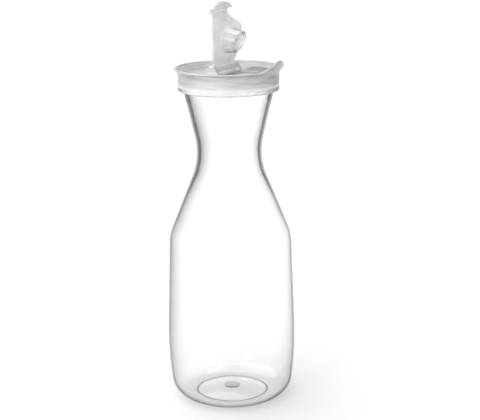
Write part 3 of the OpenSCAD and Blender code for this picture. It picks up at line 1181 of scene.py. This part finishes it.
@dataclass
class StopperFlap:
    """The flap: a shaped plate on a barrel with two pins, a hollow plug, a thumb tab and a beak."""

    lid: Lid
    open_angle: float = 83.0
    length: float = 46.9
    thickness: float = 1.8
    foot_width: float = 16.8
    wide_width: float = 21.3
    wide_at: float = 29.0
    neck_width: float = 11.0
    neck_at: float = 37.6
    tab_width: float = 12.6
    tab_share: float = 0.37
    tab_rise: float = 8.2
    bend_at: float = 26.6
    bend_end: float = 40.7
    beak: float = 3.1
    beak_share: float = 0.2
    swell: float = 1.6
    barrel_radius: float = 2.5
    side_gap: float = 0.3
    pin_radius: float = 1.4
    pin_length: float = 1.6
    flank_gap: float = 0.4
    plug_radius: float = 9.5
    plug_end_radius: float = 8.1
    plug_wall: float = 1.1
    plug_at: float = 20.5
    plug_short: float = 7.5
    plug_long: float = 12.8
    edge_round: float = 0.6
    plug_fillet: float = 1.3
    barrel_fillet: float = 0.5
    grid: float = 0.42
    # Tone of the plate and of the thumb tab, and the length over which the one becomes the other: the darker
    # tab is painted shade
    plate_tone: float = 0.98
    tab_tone: float = 0.7
    tab_fade: float = 9.0
    # TONE_AND_CLEARNESS of the plug at its root and at its end, how far down it its own look is reached, and
    # how far down it starts to clear and is clear
    root_tone: float = 1.035
    end_tone: float = 1.09
    plug_fade: float = 2.0
    end_fade: Point = (2.25, 9.75)
    outline: Path = field(init=False, default_factory=list)
    profile: Path = field(init=False, default_factory=list)

    def __post_init__(self) -> None:
        """Works out the two outlines that the plate is cut to."""
        self.outline = self.plate_outline()
        self.profile = self.plate_profile()

    @property
    def half(self) -> float:
        """Half of the plate's thickness."""
        return self.thickness / 2

    @property
    def barrel_half(self) -> float:
        """Half of the barrel's length."""
        return self.lid.ear_gap / 2 - self.side_gap

    def plate_outline(self) -> Path:
        """The plate seen from above, with the hinge line at 0.

        Returns:
            The corners of its outline.
        """
        lid = self.lid
        top_x, top_z = lid.ear_radius * math.cos(lid.ear_lean), lid.ear_radius * math.sin(lid.ear_lean)
        clear = self.flank_gap + mix(top_x, lid.ear_foot, (top_z + self.half) / (top_z + lid.hinge_height))
        foot = clear + self.thickness
        wide, neck, tab = self.wide_width, self.neck_width, self.tab_width
        tab_at = mix(self.neck_at, self.length, self.tab_share)
        edge = [(0.0, self.barrel_half), (clear, self.barrel_half)]
        edge += [(mix(foot, self.wide_at, s), mix(self.foot_width, wide, s**self.swell)) for s in shares(14)]
        edge += [(mix(self.wide_at, self.neck_at, s), mix(wide, neck, ease(s))) for s in shares(14, 1)]
        edge += [(mix(self.neck_at, tab_at, s), mix(neck, tab, ease(s))) for s in shares(8, 1)]
        turns = [math.radians(90 * s) for s in shares(14, 1)]
        edge += [(mix(tab_at, self.length, math.sin(t)), tab * math.cos(t)) for t in turns]
        return edge + [(s, -w) for s, w in reversed(edge[:-1])]

    def rise(self, s: Field) -> Field:
        """Height of the plate's middle above the level part, at a distance from the hinge line."""
        share = np.clip((s - self.bend_at) / (self.bend_end - self.bend_at), 0, 1)
        return self.tab_rise * (1 - np.cos(np.pi * share)) / 2

    def plate_profile(self) -> Path:
        """The plate seen from the side: level, then up to the thumb tab and its beak.

        Returns:
            The corners of its outline.
        """
        under_tab = self.tab_rise - self.half
        tab_foot, tab_top = under_tab - self.half, self.tab_rise + self.half
        beak_at = mix(self.bend_end, self.length, self.beak_share)
        beak_z, beak_end = under_tab - self.beak, beak_at + self.thickness / 4
        bend = [(mix(self.bend_at, self.bend_end, s), self.tab_rise * ease(s)) for s in shares(20)]
        quarter = arc((0, 0), 1, 0, 90, steps=10)
        return (
            [(0.0, -self.half)] + [(s, z - self.half) for s, z in bend]
            + [(beak_at - self.thickness / 4, under_tab - self.beak / 2), (beak_at, beak_z)]
            + [(mix(beak_end, self.length, s), mix(beak_z, tab_foot, 1 - c)) for c, s in quarter]
            + [(mix(self.bend_end, self.length, c), mix(tab_foot, tab_top, s)) for c, s in quarter[1:]]
            + [(s, z + self.half) for s, z in reversed(bend[:-1])] + [(0.0, self.half)]
        )

    def plug_field(self, s: Field, y: Field, z: Field) -> Field:
        """The hollow plug, whose open end is cut on a slant.

        Args:
            s: Distance of each point from the hinge line, along the plate.
            y: Its place along the hinge line.
            z: Its height above the middle of the level plate.

        Returns:
            The distance at each point, negative inside.
        """
        long, short = self.half + self.plug_long, self.half + self.plug_short
        taper = (self.plug_radius - self.plug_end_radius) / self.plug_long
        middle = self.plug_radius + (z + self.half) * taper - self.plug_wall / 2
        wall = np.abs(np.hypot(s - self.plug_at, y) - middle) / math.hypot(1, taper) - self.plug_wall / 2
        slant = (long - short) / (2 * self.plug_radius)
        end = -(z + short + slant * (s - self.plug_at + self.plug_radius)) / math.hypot(1, slant)
        return np.maximum(both(wall, end, self.plug_wall * 0.4), z - self.rise(s))

    def tone_and_clearness(self, place: Vector) -> float:
        """Tone and clearness of the level flap: clearest at the end of the plug, and darkest in the tab,
        which is painted shade.

        Args:
            place: A point of the flap.

        Returns:
            The value there.
        """
        down = -place.z - self.half
        on_plug = place.x >= self.plug_at - self.plug_radius - self.plug_fillet
        plug = ramp(down, 0, self.plug_fade) if on_plug else 0.0
        # The tab is painted darker than the plate, which is painted shade
        plate = mix(self.plate_tone, self.tab_tone, ramp(place.x, self.bend_at, self.bend_at + self.tab_fade))
        return mix(plate, mix(self.root_tone, self.end_tone, ramp(down, *self.end_fade)), plug)

    def field(self, s: Field, y: Field, z: Field) -> Field:
        """The whole flap as it lies when level, with the hinge line at the origin.

        Args:
            s: Distance of each point from the hinge line, along the plate.
            y: Its place along the hinge line.
            z: Its height above the middle of the level plate.

        Returns:
            The distance at each point, negative inside.
        """
        plate = both(outline_field(s, z, self.profile), outline_field(s, y, self.outline), self.edge_round)
        round_hinge = np.hypot(s, z)
        barrel = both(round_hinge - self.barrel_radius, np.abs(y) - self.barrel_half, self.edge_round)
        past_pins = np.abs(y) - self.lid.ear_gap / 2 - self.pin_length
        pins = both(round_hinge - self.pin_radius, past_pins, self.edge_round / 2)
        whole = either(plate, barrel, self.barrel_fillet)
        return either(np.minimum(whole, pins), self.plug_field(s, y, z), self.plug_fillet)

    def build(self) -> bpy.types.Object:
        """Builds the piece, dresses it and sets it on its body.

        Returns:
            The piece.
        """
        room = 2 * self.grid
        low = (-self.barrel_radius - room, -self.wide_width - room, -self.half - self.plug_long - room)
        high = (self.length + room, self.wide_width + room, self.tab_rise + self.half + room)
        points, faces = SurfaceNet(self.field, low, high, self.grid).build()
        piece = mesh_object("flap_moulding", points, faces.tolist())
        mark(piece, TONE_AND_CLEARNESS, lambda place, _: self.tone_and_clearness(place))
        x, z = self.lid.hinge
        place = Matrix.Translation(Vector((x, 0, z)) * MM)
        piece.data.transform(place @ Matrix.Rotation(-math.radians(self.open_angle), 4, "Y"))
        piece.data.shade_smooth()
        finish = MilkyPolypropylene("milky_polypropylene_flap", roughness=0.1, spread=7.0, along=0.0)
        piece.data.materials.append(finish.build())
        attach(piece, Body.FLAP.value)
        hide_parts("flap")
        return piece


# The studio


def shows_background(tree: bpy.types.NodeTree) -> bpy.types.NodeSocket:
    """Tells the rays that show the background: those of the camera, of gloss and through plastic.

    Args:
        tree: The node tree.

    Returns:
        1 for such a ray, and 0 for any other.
    """
    ray = add_node(tree, "LightPath")
    seen = ray.outputs["Is Camera Ray"]
    for kind in ("Is Glossy Ray", "Is Transmission Ray"):
        seen = add_node(tree, "Math", {0: seen, 1: ray.outputs[kind]}, operation="MAXIMUM").outputs[0]
    # Rays that light a matt surface don't show it, not even those that go through plastic on their way
    direct = add_node(tree, "Math", {0: ray.outputs["Diffuse Depth"], 1: 0.5}, operation="LESS_THAN")
    return add_node(tree, "Math", {0: seen, 1: direct.outputs[0]}, operation="MULTIPLY").outputs[0]


@dataclass
class Studio:
    """The camera, the floor, the lamps and the surroundings."""

    # The camera as it was fitted to the photograph: distance, height and turns, in metres and radians
    distance: float = 0.90704
    camera_height: float = 0.377494
    azimuth: float = math.radians(30)
    pitch: float = 0.2538
    roll: float = -0.0105
    yaw: float = -0.008
    focal_pixels: float = 1273.25
    image_width: int = 480
    sensor: float = 36.0
    floor_half: float = 6.0
    # Level of the room's light, as a share of its strength, from the camera's left, -1, to its right, 1,
    # and how much the line across the room leans up to the right
    room_levels: tuple[Point, ...] = ((-1.0, 0.2), (-0.3, 1.0), (0.05, 1.0), (0.6, 0.08))
    room_strength: float = 1.19
    room_lean: float = 0.2

    def camera(self) -> bpy.types.Object:
        """Sets the camera up at the photograph's viewing angle.

        Returns:
            The camera.
        """
        data = bpy.data.cameras.new("camera")
        data.sensor_fit, data.sensor_width = "HORIZONTAL", self.sensor
        data.lens = self.focal_pixels / self.image_width * self.sensor
        data.clip_start = 0.02
        camera = bpy.data.objects.new("camera", data)
        turn = (
            Matrix.Rotation(self.azimuth, 3, "Z") @ Matrix.Rotation(self.yaw, 3, "Z")
            @ Matrix.Rotation(-self.pitch, 3, "X") @ Matrix.Rotation(-self.roll, 3, "Y")
        )
        right, forward, up = turn.transposed()
        place = Matrix.Rotation(self.azimuth, 3, "Z") @ Vector((0, -self.distance, self.camera_height))
        camera.matrix_world = Matrix.Translation(place) @ Matrix((right, up, -forward)).transposed().to_4x4()
        bpy.context.scene.collection.objects.link(camera)
        bpy.context.scene.camera = camera
        return camera

    def floor(self) -> bpy.types.Object:
        """Lays the plain pale floor.

        Returns:
            The floor.
        """
        half = self.floor_half / MM
        corners = [(-half, -half, 0), (half, -half, 0), (half, half, 0), (-half, half, 0)]
        floor = mesh_object("studio_floor", corners, [(0, 1, 2, 3)])
        floor.data.materials.append(PaperSweep().build())
        return floor

    def lamp(
        self, name: str, strength: float, softness: float, azimuth: float, elevation: float
    ) -> bpy.types.Object:
        """A wide, soft lamp.

        Args:
            name: Name of the lamp.
            strength: Light on a surface that faces it.
            softness: Angle that it fills in the sky, in degrees.
            azimuth: Where it stands, from the camera's left round behind the object, in degrees.
            elevation: How high it stands, in degrees.

        Returns:
            The lamp.
        """
        data = bpy.data.lights.new(name, "SUN")
        data.energy, data.angle = strength, math.radians(softness)
        lamp = bpy.data.objects.new(name, data)
        a, e = math.radians(180 - azimuth) + self.azimuth, math.radians(elevation)
        towards = Vector((math.cos(a) * math.cos(e), math.sin(a) * math.cos(e), math.sin(e)))
        lamp.rotation_euler = towards.to_track_quat("Z", "Y").to_euler()
        bpy.context.scene.collection.objects.link(lamp)
        return lamp

    def surroundings(self) -> bpy.types.World:
        """Makes a white background, and a room that lights the object and is dim at both sides.

        Returns:
            The world.
        """
        world = bpy.data.worlds.new("studio")
        bpy.context.scene.world = world
        world.use_nodes = True
        tree = world.node_tree
        tree.nodes.clear()
        place = add_node(tree, "TexCoord").outputs["Generated"]
        right = Vector((math.cos(self.azimuth), math.sin(self.azimuth), self.room_lean))
        across = add_node(tree, "VectorMath", {0: place, 1: right}, operation="DOT_PRODUCT").outputs["Value"]
        levels = add_node(tree, "MapRange", {"Value": across, "From Min": -1.0})
        room = add_node(tree, "ValToRGB", {"Fac": levels.outputs["Result"]})
        set_stops(room, [((side + 1) / 2, (level, level, level, 1.0)) for side, level in self.room_levels])
        lit = add_node(tree, "Background", {"Color": room.outputs["Color"], "Strength": self.room_strength})
        white = add_node(tree, "Background", {"Color": linear("#FFFFFF"), "Strength": 1.0})
        seen = shows_background(tree)
        surface = add_node(tree, "MixShader", {"Fac": seen, 1: lit.outputs[0], 2: white.outputs[0]})
        add_node(tree, "OutputWorld", {"Surface": surface.outputs[0]})
        return world

    def build(self) -> None:
        """Sets the studio up."""
        self.camera()
        self.floor()
        self.lamp("key_softbox", strength=1.5, softness=80, azimuth=25, elevation=70)
        self.lamp("front_softbox", strength=0.6, softness=10, azimuth=-54, elevation=18)
        self.surroundings()
        bpy.context.scene.view_settings.view_transform = "Standard"


def main() -> None:
    """Builds the studio and the three pieces, and reports each."""
    logging.basicConfig(level=logging.INFO, format="%(name)s: %(message)s")
    Studio().build()
    body = CarafeBody()
    lid = Lid(body)
    flap = StopperFlap(lid)
    for part in (body, lid, flap):
        piece = part.build()
        LOG.info("%s has %d faces", piece.name, len(piece.data.polygons))


if __name__ == "__main__":
    main()
